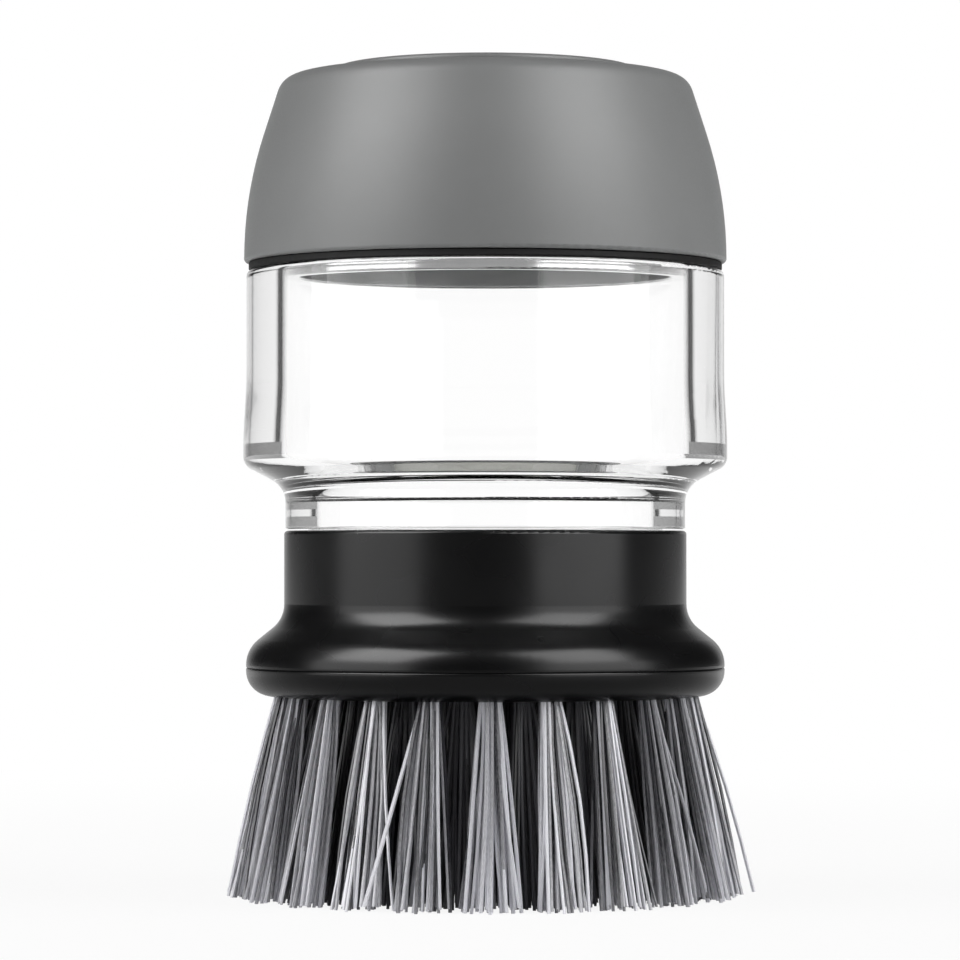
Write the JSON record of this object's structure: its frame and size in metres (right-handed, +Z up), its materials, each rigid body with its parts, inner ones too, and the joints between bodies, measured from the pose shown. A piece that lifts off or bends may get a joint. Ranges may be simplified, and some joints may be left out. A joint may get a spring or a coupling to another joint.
{
  "type": "soap dispensing palm brush",
  "caption": "Palm dish brush: domed grey grip with a push button, clear soap reservoir, and a round black twist-off head with splayed nylon tufts.",
  "frame": {"origin": "on the axis of the brush, in the plane of the trimmed bristle tips", "axes": "+Z up along the axis from the bristle tips to the button, -Y the front seen in the picture, +X to the right of that view"},
  "size_m": [0.0678, 0.0682, 0.109],
  "materials": {
    "clear_plastic": "clear polished",
    "clear_silicone": "translucent satin",
    "black_plastic": "semi-gloss moulded",
    "black_rubber": "matte",
    "grey_soft_grip": "soft-touch matte",
    "grey_plastic": "satin moulded",
    "spring_steel": "drawn wire",
    "anchor_brass": "cut strip",
    "grey_nylon": "satin filament",
    "dark_nylon": "satin filament"
  },
  "bodies": {
    "head": {"bristle_plate": "black_plastic", "brush_collar": "black_plastic", "tuft_anchors": "anchor_brass", "outer_tuft_01": "grey_nylon", "outer_tuft_02": "grey_nylon", "outer_tuft_03": "grey_nylon", "outer_tuft_04": "grey_nylon", "outer_tuft_05": "grey_nylon", "outer_tuft_06": "grey_nylon", "outer_tuft_07": "grey_nylon", "outer_tuft_08": "grey_nylon", "outer_tuft_09": "grey_nylon", "outer_tuft_10": "grey_nylon", "outer_tuft_11": "grey_nylon", "outer_tuft_12": "grey_nylon", "outer_tuft_13": "grey_nylon", "outer_tuft_14": "grey_nylon", "outer_tuft_15": "grey_nylon", "outer_tuft_16": "grey_nylon", "outer_tuft_17": "grey_nylon", "outer_tuft_18": "grey_nylon", "outer_tuft_19": "grey_nylon", "outer_tuft_20": "grey_nylon", "outer_tuft_21": "grey_nylon", "outer_tuft_22": "grey_nylon", "second_row_tufts": "dark_nylon", "third_row_tufts": "dark_nylon", "inner_row_tufts": "dark_nylon"},
    "head_rise": {"head_seal": "black_rubber"},
    "tank": {"reservoir": "clear_plastic", "outlet_valve": "clear_silicone", "valve_retainer": "black_plastic"},
    "cap_rise": {"cap_gasket": "black_rubber"},
    "cap": {"cap_grip": "grey_soft_grip", "cap_core": "grey_plastic", "cap_plug": "grey_plastic", "pump_diaphragm": "clear_silicone", "diaphragm_ring": "grey_plastic", "return_spring": "spring_steel"},
    "button": {"push_button": "grey_soft_grip", "plunger": "grey_plastic"}
  },
  "joints": [
    {"name": "tank_lift", "type": "slide", "parent": "head", "child": "head_rise", "axis": [0, 0, 1], "range_m": [0, 0.00234]},
    {"name": "tank_twist", "type": "hinge", "parent": "head_rise", "child": "tank", "pos_m": [0, 0, 0.0428], "axis": [0, 0, 1], "range_deg": [0, 60]},
    {"name": "cap_lift", "type": "slide", "parent": "tank", "child": "cap_rise", "axis": [0, 0, 1], "range_m": [0, 0.00234]},
    {"name": "cap_twist", "type": "hinge", "parent": "cap_rise", "child": "cap", "pos_m": [0, 0, 0.0858], "axis": [0, 0, 1], "range_deg": [0, 60]},
    {"name": "button_press", "type": "slide", "parent": "cap", "child": "button", "axis": [0, 0, -1], "range_m": [0, 0.0045], "stiffness_N_per_m": 1300, "springref_m": -0.003, "deforming": ["return_spring", "pump_diaphragm"]}
  ],
  "couplings": [
    {"joint": "tank_lift", "follows": "tank_twist", "m_per_rad": 0.0022282},
    {"joint": "cap_lift", "follows": "cap_twist", "m_per_rad": 0.0022282}
  ]
}
